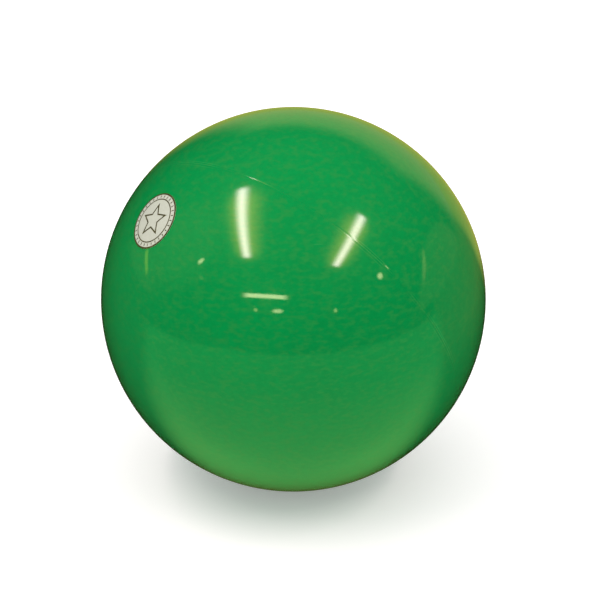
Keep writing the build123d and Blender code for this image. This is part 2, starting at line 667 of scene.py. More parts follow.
@dataclass(frozen=True)
class PrintInk(Finish):
    """A film of printed ink with the cover's gloss, a little thin and speckled in places.

    Attributes:
        colour: the ink.
        thin: the ink where it is thin or rubbed.
        rub: how much thinner it is in rubbed spots, from 0 to 1.
        worn: how much thinner it is in the mottle, from 0 to 1.
        mottle: fine unevenness of the print.
        spots: where it is rubbed.
        smoothness: its roughness, over the mottle.
        tooth_scale: features of its surface per metre.
        tooth: their height.
    """

    colour: Colour = (0.61, 0.65, 0.54)
    thin: Colour = (0.44, 0.5, 0.36)
    rub: float = 0.3
    worn: float = 0.22
    mottle: Speckle = Speckle(900.0, 3.0, 0.35, 0.75, rough=0.65)
    spots: Speckle = Speckle(260.0, 2.0, 0.62, 0.72)
    smoothness: Ramp = (0.0, 1.0, 0.28, 0.36)
    tooth_scale: float = 700.0
    tooth: float = 0.004 * MM

    def dress(self, nodes: Nodes, shader: bpy.types.Node, place: Socket) -> None:
        """Screen-print mottle, small rubbed spots, and the gloss of the skin over it.

        Args:
            nodes: the material's tree.
            shader: its Principled shader.
            place: Object coordinates, in metres from the ball's centre.
        """
        mottle = nodes.speckle(place, self.mottle)
        spots = nodes.speckle(place, self.spots)
        thin = nodes.times_plus(spots, self.rub, nodes.times(mottle, self.worn))
        nodes.fill(shader, {
            "Base Color": nodes.blend(thin, self.colour, self.thin),
            "Roughness": nodes.ramp(mottle, *self.smoothness),
            "Normal": nodes.bump(nodes.noise(place, self.tooth_scale), self.tooth),
            "Specular IOR Level": 0.35,
            "Coat Weight": 0.9,
            "Coat Roughness": 0.05,
        })


@dataclass(frozen=True)
class PlainRubber(Finish):
    """Unpainted rubber: dark, with a fine tooth, pale bloom and rubbed high spots.

    Attributes:
        colour: the rubber.
        bloom: the pale bloom that comes to its surface.
        cloud: where the bloom lies.
        roughness: roughness of its smoothest places.
        uneven: how much rougher its roughest places are.
        tooth: depth of the surface grain, in metres.
        grain: grain features per metre.
        high_spots: heights of the grain between which the roughness changes.
    """

    colour: Colour = (0.02, 0.02, 0.02)
    bloom: Colour = (0.1, 0.1, 0.095)
    cloud: Speckle = Speckle(60.0, 4.0, 0.45, 0.8, rough=0.6, end=0.35)
    roughness: float = 0.42
    uneven: float = 0.18
    tooth: float = 0.02 * MM
    grain: float = 900.0
    high_spots: Ramp = (0.3, 0.7)

    def dress(self, nodes: Nodes, shader: bpy.types.Node, place: Socket) -> None:
        """Bloom in soft clouds, and a fine grain in both roughness and bump.

        Args:
            nodes: the material's tree.
            shader: its Principled shader.
            place: Object coordinates, in metres from the ball's centre.
        """
        cloud = nodes.speckle(place, self.cloud)
        grain = nodes.noise(place, self.grain, 3.0, 0.6)
        low, high = self.roughness, self.roughness + self.uneven
        nodes.fill(shader, {
            "Base Color": nodes.blend(cloud, self.colour, self.bloom),
            "Roughness": nodes.ramp(grain, *self.high_spots, low, high),
            "Normal": nodes.bump(grain, self.tooth),
        })


@dataclass(frozen=True)
class WoundYarn(Finish):
    """Nylon yarn: pale, slightly shiny, with a fine twist along each strand.

    Attributes:
        colour: the yarn.
        shade: the yarn darkened as painted shade between its fibres, and where rubber cement stains
            it.
        cement: where the cement lies.
        fibre: fibres per metre.
        fibre_height: how far they stand up.
        smoothness: roughness over the height of the fibres.
        sheen: strength of the sheen.
    """

    colour: Colour = (0.72, 0.7, 0.64)
    shade: Colour = (0.42, 0.4, 0.35)
    cement: Speckle = Speckle(45.0, 3.0, 0.45, 0.75, end=0.5)
    fibre: float = 2600.0
    fibre_height: float = 0.03 * MM
    smoothness: Ramp = (0.3, 0.7, 0.38, 0.55)
    sheen: float = 0.15

    def dress(self, nodes: Nodes, shader: bpy.types.Node, place: Socket) -> None:
        """Fibre streaks from fine noise, darkened as painted shade between fibres, with rubber
        cement staining them in patches.

        Args:
            nodes: the material's tree.
            shader: its Principled shader.
            place: Object coordinates, in metres from the ball's centre.
        """
        fibre = nodes.noise(place, self.fibre, 2.0, 0.7)
        # Painted shade: the fibre noise darkens the yarn as between its fibres; the cement patches
        # are a stain.
        share = nodes.times_plus(fibre, 0.5, nodes.speckle(place, self.cement))
        nodes.fill(shader, {
            "Base Color": nodes.blend(share, self.colour, self.shade),
            "Roughness": nodes.ramp(fibre, *self.smoothness),
            "Normal": nodes.bump(fibre, self.fibre_height),
            "Sheen Weight": self.sheen,
        })


@dataclass(frozen=True)
class PatchCloth(Finish):
    """Rubberised woven cloth, a plain weave of a given thread spacing.

    Attributes:
        colour: the thread.
        gap: the rubber between the threads.
        spacing: from one thread to the next.
        fuzz: loose fibres per metre.
        fuzz_share: their height against the thread's.
        thread: heights between which the gap turns to thread.
        smoothness: roughness over the height of the fuzz.
        depth: from the top of a thread to the gap.
    """

    colour: Colour = (0.5, 0.47, 0.4)
    gap: Colour = (0.12, 0.11, 0.1)
    spacing: float = 0.9 * MM
    fuzz: float = 1500.0
    fuzz_share: float = 0.4
    thread: Ramp = (0.1, 0.7)
    smoothness: Ramp = (0.3, 0.7, 0.6, 0.8)
    depth: float = 0.08 * MM

    def dress(self, nodes: Nodes, shader: bpy.types.Node, place: Socket) -> None:
        """Plain weave, whose height is |sin(pi x / spacing) sin(pi z / spacing)| and fuzz.

        Args:
            nodes: the material's tree.
            shader: its Principled shader.
            place: Object coordinates, in metres from the ball's centre.
        """
        parts, rate = nodes.axes(place), math.pi / self.spacing
        across = nodes.math("SINE", nodes.times(parts["X"], rate))
        along = nodes.math("SINE", nodes.times(parts["Z"], rate))
        over = nodes.math("ABSOLUTE", nodes.times(across, along))
        fuzz = nodes.noise(place, self.fuzz)
        height = nodes.times_plus(fuzz, self.fuzz_share, over)
        thread = nodes.ramp(height, *self.thread)
        nodes.fill(shader, {
            "Base Color": nodes.blend(thread, self.gap, self.colour),
            "Roughness": nodes.ramp(fuzz, *self.smoothness),
            "Normal": nodes.bump(height, self.depth),
        })


COVER_GREEN = CoverRubber("cover_rubber", "cover")
PALE_INK = PrintInk("pale_ink", "badge_pale_ink")
DARK_INK = PrintInk(
    "dark_ink", "badge_dark_ink", colour=(0.055, 0.05, 0.014), thin=(0.2, 0.19, 0.07), rub=0.4
)
CUSHION_BLACK = PlainRubber("cushion_rubber", "cushion", roughness=0.64, grain=700.0)
BLADDER_BLACK = PlainRubber(
    "bladder_rubber", "bladder", colour=(0.03, 0.028, 0.026), roughness=0.34, grain=1300.0
)
VALVE_BLACK = PlainRubber(
    "valve_rubber", "valve_rubber", colour=(0.022, 0.022, 0.024), roughness=0.32, tooth=0.008 * MM
)
YARN = WoundYarn("wound_yarn", "winding")
CLOTH = PatchCloth("patch_cloth", "winding")


def settle(piece: bpy.types.Object, finish: Finish, body: str, *stands_for: str) -> None:
    """Dresses a finished piece, ties it to its body and hides the CAD nodes that it stands for.

    Args:
        piece: the finished mesh, at the origin.
        finish: what it is covered with.
        body: CAD body that it moves with.
        *stands_for: CAD nodes that it replaces.
    """
    finish.apply(piece)
    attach(piece, body)
    if stands_for:
        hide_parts(*stands_for)
    LOG.info(
        "%s: %d points, %d faces, on body %s, finish %s",
        piece.name, len(piece.data.vertices), len(piece.data.polygons), body, finish.name,
    )


# ---- shells -------------------------------------------------------------------------


@dataclass
class HalfShell:
    """Half of a hollow ball, cut by a plane through the centre, with an optional round hole.

    It is drawn along meridians that leave a pole, the hole's middle or the half's own
    middle, and end on the cutting plane.

    Attributes:
        name: piece name.
        half: which side of the cutting plane.
        cut: direction across the cutting plane.
        pole: direction where the meridians meet.
        outer: outside radius.
        wall: thickness.
        hole: radius of the hole at the pole, or 0.
        edge: rounding of the outer edges, at the cut and round the hole.
        bead_at: distance of a raised ring from the pole, along the surface, or 0.
        bead_height: how far the ring stands out.
        bead_width: half the ring's width.
        lip: radius of the rounding that leads into the hole.
        columns: meridians.
        rows: rows between the hole's surroundings and the cut.
        inner_rows: rows on the inside.
        lip_rows: rows on the hole's lip.
        bead_rows: rows from the lip past the raised ring.
        edge_rows: rows on the rounding at the cut.
    """

    name: str
    half: Half
    cut: np.ndarray
    pole: np.ndarray
    outer: float
    wall: float
    hole: float = 0.0
    edge: float = 0.03 * MM
    bead_at: float = 0.0
    bead_height: float = 0.3 * MM
    bead_width: float = 1.15 * MM
    lip: float = 0.3 * MM
    columns: int = 360
    rows: int = 150
    inner_rows: int = 50
    lip_rows: int = 7
    bead_rows: int = 41
    edge_rows: int = 4

    def reach(self) -> tuple[np.ndarray, np.ndarray]:
        """Where each meridian ends.

        Returns:
            The polar angle at which it meets the plane, atan2(pole . n, -out . n) with n the
            direction into the half, and how squarely it crosses it, from 0 to 1.
        """
        inward = self.cut * self.half.value
        level, other = cross_axes(self.pole)
        turn = full_turn(self.columns)
        out = np.cos(turn) * (level @ inward) + np.sin(turn) * (other @ inward)
        angle = np.arctan2(self.pole @ inward, -out)
        return angle, np.abs(np.cos(angle) * out - np.sin(angle) * (self.pole @ inward))

    def near_hole(self) -> tuple[np.ndarray, np.ndarray]:
        """Surface round the hole, as distance from the pole and height over the ball.

        The lip is a quarter circle, and the raised ring is a cosine-squared hump:
        height * cos(pi/2 * offset / half width) squared.

        Returns:
            Distances from the pole along the surface, and heights over the ball.
        """
        swing = np.linspace(0.0, math.pi / 2, self.lip_rows)
        lip_out = self.hole + self.lip * (1.0 - np.cos(swing))
        lip_up = self.lip * (np.sin(swing) - 1.0)
        past = self.bead_at + 2.0 * self.bead_width
        span = np.linspace(self.hole + self.lip, past, self.bead_rows + 1)[1:]
        offset = np.clip((span - self.bead_at) / self.bead_width, -1.0, 1.0)
        hump = self.bead_height * np.cos(offset * math.pi / 2) ** 2
        return np.concatenate([lip_out, span]), np.concatenate([lip_up, hump])

    def build(self) -> bpy.types.Object:
        """Makes the half: outside from pole to cut, rounded edge, cut face, inside, hole.

        Returns:
            The piece.
        """
        end, square = self.reach()
        skin = Skin(self.name)
        inner = self.outer - self.wall
        if self.hole:
            along, height = self.near_hole()
            first_angle = np.repeat(along[:, None] / self.outer, self.columns, axis=1)
            first_radius = self.outer + height
        else:
            first_angle = np.zeros((1, self.columns))
            first_radius = np.array([self.outer])
        stop = end - self.edge / self.outer / square
        share = np.linspace(0.0, 1.0, self.rows + 1)[1:, None]
        far = first_angle[-1] + share * (stop - first_angle[-1])
        swing = np.linspace(0.0, math.pi / 2, self.edge_rows + 1)[1:, None]
        bend = end - (end - stop) * (1.0 - np.sin(swing))
        bend_radius = self.outer - self.edge * (1.0 - np.cos(swing[:, 0]))
        back = np.linspace(1.0, 0.0, self.inner_rows + 1)[:, None]
        inside = first_angle[0] + back * (end - first_angle[0])
        angle = np.concatenate([first_angle, far, bend, inside])
        radius = np.concatenate([
            first_radius,
            np.full(self.rows, self.outer),
            bend_radius,
            np.full(self.inner_rows + 1, inner),
        ])
        skin.add(turned(self.pole, angle, radius, self.columns), wrap_rows=bool(self.hole))
        return skin.make()


@dataclass
class RoundShell:
    """A whole hollow ball with one round hole at its pole.

    Attributes:
        name: piece name.
        pole: direction of the hole.
        outer: outside radius.
        wall: thickness.
        hole: the hole's radius.
        seam_height: how far a band round the middle stands in from the inside, or 0.
        seam_width: half the band's width.
        columns: meridians.
        rows: rows from the hole to the far pole.
    """

    name: str
    pole: np.ndarray
    outer: float
    wall: float
    hole: float
    seam_height: float = 0.0
    seam_width: float = 4.0 * MM
    columns: int = 240
    rows: int = 150

    def build(self) -> bpy.types.Object:
        """Makes the shell: outside from hole to far pole, then inside back to the hole.

        The lap seam thickens the wall by a smooth step within its width of the middle.

        Returns:
            The piece.
        """
        inner = self.outer - self.wall
        start = math.asin(self.hole / self.outer)
        down = np.linspace(start, math.pi, self.rows)
        off = np.abs((down - math.pi / 2) * inner) / self.seam_width
        step = np.clip(2.0 - 2.0 * off, 0.0, 1.0)
        seam = self.seam_height * step * step * (3.0 - 2.0 * step)
        skin = Skin(self.name)
        skin.add(turned(self.pole, down, np.full(self.rows, self.outer), self.columns))
        up = down[::-1]
        skin.add(turned(self.pole, up, (inner - seam)[::-1], self.columns))
        rim = np.array([start, start])
        skin.add(turned(self.pole, rim, np.array([inner, self.outer]), self.columns))
        return skin.make()


@dataclass
class Layers:
    """Radii of the ball's layers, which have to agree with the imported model.

    Attributes:
        cover: outside of the ball.
        cushion: outside of the cushion ply, which is the inside of the cover.
        winding: outside of the winding.
        bladder: outside of the bladder.
        air: inside of the bladder.
        neck: the valve boot's neck, and the hole that it stands in.
        patch: the cloth patch round the neck.
        slack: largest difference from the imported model.
    """

    cover: float = 108.0 * MM
    cushion: float = 106.9 * MM
    winding: float = 106.2 * MM
    bladder: float = 105.7 * MM
    air: float = 105.0 * MM
    neck: float = 5.5 * MM
    patch: float = 26.0 * MM
    slack: float = 0.2 * MM

    def check(self) -> None:
        """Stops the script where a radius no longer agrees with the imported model."""
        for radius, node in (
            (self.cover, "outer_ply_back"), (self.cushion, "inner_ply_back"),
            (self.winding, "nylon_winding"), (self.bladder, "bladder"),
        ):
            packed = np.abs(np.array(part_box(node))).max()
            if abs(packed - radius) > self.slack:
                raise ValueError(f"{node} is not {radius} m in radius")


@dataclass
class Cover:
    """The coloured outer ply, in two halves that meet on the tilted parting plane.

    Attributes:
        layers: the ball's radii.
        bead_at: distance of the raised ring from the valve's axis.
    """

    layers: Layers
    bead_at: float = 10.5 * MM

    def build(self) -> None:
        """Makes the front half round its own middle, and the back half round the valve."""
        cut, wall = PARTING.vector(), self.layers.cover - self.layers.cushion
        front = HalfShell(
            "cover_front", Half.FRONT, cut, -cut, self.layers.cover, wall, rows=170
        )
        settle(front.build(), COVER_GREEN, "ball", "outer_ply_front")
        back = HalfShell(
            "cover_back", Half.BACK, cut, VALVE.vector(), self.layers.cover, wall,
            hole=self.layers.neck, bead_at=self.bead_at,
        )
        settle(back.build(), COVER_GREEN, "ball", "outer_ply_back")


@dataclass
class Cushion:
    """The cushion ply, in two halves that meet across the valve axis.

    Attributes:
        layers: the ball's radii.
    """

    layers: Layers

    def build(self) -> None:
        """Makes both halves; only the back one has the hole for the valve boot."""
        cut, wall = VALVE.vector(), self.layers.cushion - self.layers.winding
        for half, name, hole in (
            (Half.FRONT, "cushion_front", 0.0),
            (Half.BACK, "cushion_back", self.layers.neck),
        ):
            shell = HalfShell(
                name, half, cut, cut * half.value, self.layers.cushion, wall, hole=hole,
                bead_at=self.layers.neck * 2.0, bead_height=0.0, columns=240, rows=90,
            )
            stands_for = "inner_ply_front" if half is Half.FRONT else "inner_ply_back"
            settle(shell.build(), CUSHION_BLACK, "ball", stands_for)


@dataclass
class Winding:
    """Nylon yarn wound round the bladder in every direction, on a thin cemented first coat.

    Attributes:
        layers: the ball's radii.
        strands: how many turns are drawn.
        strand_width: half a strand's width.
        coat: thickness of the first coat under the drawn strands.
        steps: how many steps round each turn.
        seed: start of the random directions.
    """

    layers: Layers
    strands: int = 230
    strand_width: float = 0.45 * MM
    coat: float = 0.25 * MM
    steps: int = 90
    seed: int = 7

    def turns(self) -> np.ndarray:
        """Axes of the turns: random directions, less those whose great circle meets the neck.

        A turn passes the valve at asin(|axis . valve|), so that has to exceed the neck's
        own angle with room for the strand.

        Returns:
            Unit vectors, one for each turn.
        """
        axes = np.random.default_rng(self.seed).normal(size=(self.strands * 2, 3))
        axes /= np.linalg.norm(axes, axis=1, keepdims=True)
        clear = (self.layers.neck + 2.0 * self.strand_width) / self.layers.winding
        return axes[np.abs(axes @ VALVE.vector()) > clear][: self.strands]

    def build(self) -> None:
        """Makes the first coat and the strands.

        A strand is a flat diamond carried round a great circle: centre + width * axis or
        height * outward, at the circle's points cos(t) u + sin(t) v.
        """
        coat = RoundShell(
            "winding_coat", VALVE.vector(), self.layers.bladder + self.coat, self.coat,
            self.layers.patch,
        )
        settle(coat.build(), YARN, "ball", "nylon_winding")
        axes = self.turns()
        level = np.cross(axes, UPRIGHT)
        level /= np.linalg.norm(level, axis=1, keepdims=True)
        other = np.cross(axes, level)
        turn = full_turn(self.steps)[None, :, None]
        out = np.cos(turn) * level[:, None] + np.sin(turn) * other[:, None]
        low = self.layers.bladder + self.coat
        middle, rise = (low + self.layers.winding) / 2.0, (self.layers.winding - low) / 2.0
        diamond = ((rise, 0.0), (0.0, -self.strand_width), (-rise, 0.0), (0.0, self.strand_width))
        skin = Skin("yarn_strands")
        for axis, circle in zip(axes, out):
            sides = [(middle + up) * circle + side * axis for up, side in diamond]
            skin.add(np.stack(sides), wrap_rows=True)
        settle(skin.make(sharp_degrees=120.0), YARN, "ball")


@dataclass
class Bladder:
    """The airtight bladder and the cloth patch that stiffens it round the valve.

    Attributes:
        layers: the ball's radii.
        seam_height: how far the lap seam thickens the bladder.
        patch_wall: thickness of the patch.
        patch_edge: width of the slope at the patch's edge.
        patch_rows: rows across the patch.
        patch_columns: steps round the patch.
    """

    layers: Layers
    seam_height: float = 0.35 * MM
    patch_wall: float = 0.25 * MM
    patch_edge: float = 0.3 * MM
    patch_rows: int = 60
    patch_columns: int = 120

    def build(self) -> None:
        """Makes the bladder with its lap seam, and the patch as a thin curved washer."""
        shell = RoundShell(
            "air_bladder", VALVE.vector(), self.layers.bladder,
            self.layers.bladder - self.layers.air, self.layers.neck, self.seam_height,
        )
        settle(shell.build(), BLADDER_BLACK, "ball", "bladder")
        low, high = self.layers.bladder, self.layers.bladder + self.patch_wall
        reach, rows = self.layers.patch - self.patch_edge, self.patch_rows
        spread = np.linspace(self.layers.neck, reach, rows) / low
        edge = self.layers.patch / low
        angle = np.concatenate([spread, [edge], spread[::-1]])
        radius = np.concatenate([np.full(rows, high), [low], np.full(rows, low)])
        skin = Skin("reinforcing_patch")
        skin.add(turned(VALVE.vector(), angle, radius, self.patch_columns), wrap_rows=True)
        settle(skin.make(), CLOTH, "ball", "valve_patch")


# ---- valve --------------------------------------------------------------------------


@dataclass
class Valve:
    """The flanged boot bonded inside the bladder, and the core that slides out of it.

    Sizes are in millimetres. An outline's corners are (distance from axis, height from the
    centre, rounding), so a bare number in third place is the rounding of that edge.

    Attributes:
        ball: outside of the ball.
        air: inside of the bladder, which the flange lies against.
        neck: the boot's neck.
        flange: the boot's flange.
        flange_wall: thickness of the flange.
        boot_depth: from the ball's surface to the boot's foot.
        nose: the boot at its foot.
        taper: how far above its foot the boot starts to narrow.
        seat_depth: from the ball's surface to the seat of the core's head.
        core: the core's stem.
        head: the core's head.
        gap: from the core to the boot.
        core_length: from the ball's surface to the core's foot.
        channel: the needle channel.
        channel_depth: from the ball's surface to its blind end.
        lead_in: the cone that guides the needle, at the surface.
        lead_in_depth: from the ball's surface to where the cone meets the channel.
        grooves: heights of the grip grooves round the stem.
        groove_depth: depth of a groove.
        groove_mouth: half its width at the surface.
        groove_floor: half its width at the bottom.
        chamfer: slope at the core's foot.
    """

    ball: float = 108.0
    air: float = 105.0
    neck: float = 5.5
    flange: float = 20.0
    flange_wall: float = 1.0
    boot_depth: float = 17.0
    nose: float = 4.6
    taper: float = 6.0
    seat_depth: float = 1.3
    core: float = 3.0
    head: float = 4.2
    gap: float = 0.05
    core_length: float = 16.0
    channel: float = 1.0
    channel_depth: float = 13.0
    lead_in: float = 1.7
    lead_in_depth: float = 0.912
    grooves: tuple[float, ...] = (103.6, 100.6, 97.6)
    groove_depth: float = 0.18
    groove_mouth: float = 0.4
    groove_floor: float = 0.15
    chamfer: float = 0.6

    def on_ball(self, reach: float, radius: float) -> float:
        """Height of a sphere of that radius at a distance from the axis."""
        return math.sqrt(radius * radius - reach * reach)

    def boot(self) -> bpy.types.Object:
        """Boot: neck, spherical flange, tapered nose and stepped bore, all edges eased.

        Returns:
            The piece.
        """
        bore, seat = self.core + self.gap, self.head + self.gap
        under = self.air - self.flange_wall
        foot = self.ball - self.boot_depth
        out = np.linspace(self.neck, self.flange, 12)
        top = [(r, self.on_ball(r, self.air), 0.0) for r in out[1:-1]]
        below = [(r, self.on_ball(r, under), 0.0) for r in out[-2:0:-1]]
        corners = [
            (self.neck, self.on_ball(self.neck, self.ball), 0.25),
            (self.neck, self.on_ball(self.neck, self.air), 0.0),
            *top,
            (self.flange, self.on_ball(self.flange, self.air), 0.3),
            (self.flange, self.on_ball(self.flange, under), 0.3),
            *below,
            (self.neck, self.on_ball(self.neck, under), 0.6),
            (self.neck, foot + self.taper, 1.5),
            (self.nose, foot, 0.5),
            (bore, foot, 0.2),
            (bore, self.ball - self.seat_depth, 0.1),
            (seat, self.ball - self.seat_depth, 0.0),
            (seat, self.on_ball(seat, self.ball), 0.2),
        ]
        skin = Skin("boot_of_valve")
        skin.add(lathe(VALVE.vector(), rounded(corners), 128), wrap_rows=True)
        return skin.make()

    def plug(self) -> bpy.types.Object:
        """Core: domed head, lead-in cone, blind needle channel and a grooved stem.

        Returns:
            The piece.
        """
        foot = self.ball - self.core_length
        floor = self.ball - self.channel_depth
        mouth = self.ball - self.lead_in_depth
        shoulder = self.ball - self.seat_depth
        out = np.linspace(self.lead_in, self.head, 8)
        dome = [(r, self.on_ball(r, self.ball), 0.0) for r in out[1:-1]]
        grooves: list[tuple[float, float, float]] = []
        for height in self.grooves:
            grooves += [
                (self.core, height + self.groove_mouth, 0.1),
                (self.core - self.groove_depth, height + self.groove_floor, 0.1),
                (self.core - self.groove_depth, height - self.groove_floor, 0.1),
                (self.core, height - self.groove_mouth, 0.1),
            ]
        corners = [
            (0.0, floor, 0.0),
            (self.channel, floor, 0.3),
            (self.channel, mouth, 0.5),
            (self.lead_in, self.on_ball(self.lead_in, self.ball), 0.3),
            *dome,
            (self.head, self.on_ball(self.head, self.ball), 0.25),
            (self.head, shoulder, 0.15),
            (self.core, shoulder, 0.1),
            *grooves,
            (self.core, foot + self.chamfer, 0.3),
            (self.core - self.chamfer, foot, 0.2),
            (0.0, foot, 0.0),
        ]
        skin = Skin("self_sealing_core")
        skin.add(lathe(VALVE.vector(), rounded(corners), 96))
        return skin.make()

    def build(self) -> None:
        """Makes both pieces; the core rides on its own body."""
        settle(self.boot(), VALVE_BLACK, "ball", "valve_boot")
        settle(self.plug(), VALVE_BLACK, "core", "valve_core")


# ---- badge --------------------------------------------------------------------------


@dataclass
class Badge:
    """A printed round badge: pale ground, two dark rings, ticks between them and a star.

    Everything is drawn flat, in the badge's own upright, and carried onto the ball along
    the badge's heading, as a print pad does.

    Attributes:
        ball: outside of the ball.
        radius: outside of the pale ground and of the rim line.
        lean: turn of the badge's upright about its heading, in degrees.
        film: thickness of each print.
        shoulder: height of the film's edge, as a share of its thickness.
        rim_line: width of the rim line.
        ring: outside of the inner ring.
        ring_line: width of the inner ring.
        star: reach of the star's tips.
        star_waist: reach of its inner corners, as a share of that of its tips.
        star_line: width of its line, square to its sides.
        points: how many tips.
        ticks: how many ticks.
        tick_line: width of a tick.
        tick_gap: from a tick to the rings.
        steps: steps round a circle.
        ground_rings: rings of points from the ground's middle to its edge.
    """

    ball: float = 108.0 * MM
    radius: float = 16.4 * MM
    lean: float = 24.0
    film: float = 0.1 * MM
    shoulder: float = 0.6
    rim_line: float = 0.9 * MM
    ring: float = 13.0 * MM
    ring_line: float = 0.6 * MM
    star: float = 10.2 * MM
    star_waist: float = 0.45
    star_line: float = 0.8 * MM
    points: int = 5
    ticks: int = 30
    tick_line: float = 0.5 * MM
    tick_gap: float = 0.5 * MM
    steps: int = 180
    ground_rings: int = 24

    def on_ball(self, flat: np.ndarray, height: np.ndarray) -> np.ndarray:
        """Carries flat points onto the ball.

        Point = x * right + y * up + sqrt((ball + height)^2 - x^2 - y^2) * heading.

        Args:
            flat: x and y in the badge's own plane, in the last axis.
            height: height over the ball for each point.

        Returns:
            Points from the ball's centre, in the last axis.
        """
        pole = BADGE.vector()
        right, up = leaning_axes(pole, self.lean)
        x, y = flat[..., 0], flat[..., 1]
        rise = np.sqrt((self.ball + height) ** 2 - x**2 - y**2)
        return x[..., None] * right + y[..., None] * up + rise[..., None] * pole

    def band(self, skin: Skin, inner: np.ndarray, outer: np.ndarray) -> None:
        """Adds a closed printed line on the ground, between two flat outlines.

        Its rings run from the inner outline to the outer one: underside, shoulder, top,
        shoulder, underside.

        Args:
            skin: where it goes.
            inner: inner outline, points by 2.
            outer: outer outline, with as many points.
        """
        share = np.array([0.0, 0.0, 0.12, 0.88, 1.0, 1.0])[:, None, None]
        rise = np.array([0.0, self.shoulder, 1.0, 1.0, self.shoulder, 0.0])[:, None]
        flat = inner[None] + share * (outer - inner)[None]
        height = self.film + np.repeat(rise * self.film, len(inner), axis=1)
        skin.add(self.on_ball(flat, height), wrap_rows=True)

    def slab(self, skin: Skin, outline: np.ndarray) -> None:
        """Adds a closed printed patch on the ground, inside a flat outline.

        Its rings are the outline drawn in towards its own middle: top, shoulder, underside.

        Args:
            skin: where it goes.
            outline: points by 2, anticlockwise.
        """
        middle = outline.mean(axis=0)
        share = np.array([0.0, 0.84, 1.0, 1.0, 0.0])[:, None, None]
        rise = np.array([1.0, 1.0, self.shoulder, 0.0, 0.0])[:, None]
        flat = middle + share * (outline - middle)[None]
        height = self.film + np.repeat(rise * self.film, len(outline), axis=1)
        skin.add(self.on_ball(flat, height))

    def circle(self, radius: float) -> np.ndarray:
        """Outline of a circle: radius * (cos t, sin t)."""
        turn = full_turn(self.steps)
        return radius * np.stack([np.cos(turn), np.sin(turn)], axis=-1)

    def star_outline(self, reach: float, per_side: int = 8) -> np.ndarray:
        """Outline of the star, its corners on two circles, with points along each side.

        Args:
            reach: of its tips from the middle.
            per_side: points along each side.

        Returns:
            Points by 2.
        """
        count = 2 * self.points
        turn = math.pi / 2 + np.arange(count + 1) * math.pi / self.points
        size = np.where(np.arange(count + 1) % 2, reach * self.star_waist, reach)
        corners = size[:, None] * np.stack([np.cos(turn), np.sin(turn)], axis=-1)
        share = np.linspace(0.0, 1.0, per_side, endpoint=False)[None, :, None]
        sides = corners[:-1, None] + share * (corners[1:] - corners[:-1])[:, None]
        return sides.reshape(-1, 2)

    def ground(self) -> bpy.types.Object:
        """Pale disc: its top, eased edge and underside, drawn as rings about its middle.

        Returns:
            The piece.
        """
        count = self.ground_rings
        reach = np.concatenate([
            np.linspace(0.0, self.radius - 0.15 * MM, count), [self.radius, self.radius],
            np.linspace(self.radius, 0.0, count)[1:],
        ])
        rise = np.concatenate([np.ones(count), [self.shoulder, 0.0], np.zeros(count - 1)])
        flat = reach[:, None, None] * self.circle(1.0)[None]
        skin = Skin("badge_disc")
        skin.add(self.on_ball(flat, np.repeat(rise[:, None] * self.film, self.steps, axis=1)))
        return skin.make()

    def rings(self) -> bpy.types.Object:
        """Dark rim line and inner ring, in one print.

        Returns:
            The piece.
        """
        skin = Skin("badge_ring_lines")
        for outer, line in ((self.radius, self.rim_line), (self.ring, self.ring_line)):
            self.band(skin, self.circle(outer - line), self.circle(outer))
        return skin.make()

    def star_lines(self) -> bpy.types.Object:
        """Outlined star; its line is as wide as the CAD one, measured square to its sides.

        Apothem = |tip cross side| / |side|, for a star whose tips reach 1.

        Returns:
            The piece.
        """
        turn = math.pi / self.points
        tip = np.array([0.0, 1.0])
        waist = self.star_waist * np.array([-math.sin(turn), math.cos(turn)])
        side = waist - tip
        apothem = abs(tip[0] * side[1] - tip[1] * side[0]) / np.linalg.norm(side)
        inner = self.star - self.star_line / apothem
        skin = Skin("badge_star_lines")
        self.band(skin, self.star_outline(inner), self.star_outline(self.star))
        return skin.make()

    def tick_marks(self) -> bpy.types.Object:
        """Short radial ticks between the two rings.

        Returns:
            The piece.
        """
        skin = Skin("badge_ticks")
        low, high = self.ring + self.tick_gap, self.radius - self.rim_line - self.tick_gap
        half = self.tick_line / 2.0
        for turn in full_turn(self.ticks):
            out = np.array([math.cos(turn), math.sin(turn)])
            side = np.array([-out[1], out[0]]) * half
            outline = [out * low - side, out * high - side, out * high + side, out * low + side]
            self.slab(skin, np.stack(outline))
        return skin.make(sharp_degrees=60.0)

    def build(self) -> None:
        """Prints the pale ground, then the dark lines on it."""
        settle(self.ground(), PALE_INK, "ball", "badge_ground")
        settle(self.rings(), DARK_INK, "ball", "badge_rings")
        settle(self.star_lines(), DARK_INK, "ball", "badge_star")
        settle(self.tick_marks(), DARK_INK, "ball")


# ---- studio -------------------------------------------------------------------------


class Outline(Enum):
    """Shape of a patch of the surroundings."""

    RECTANGLE = "rectangle"
    ELLIPSE = "ellipse"


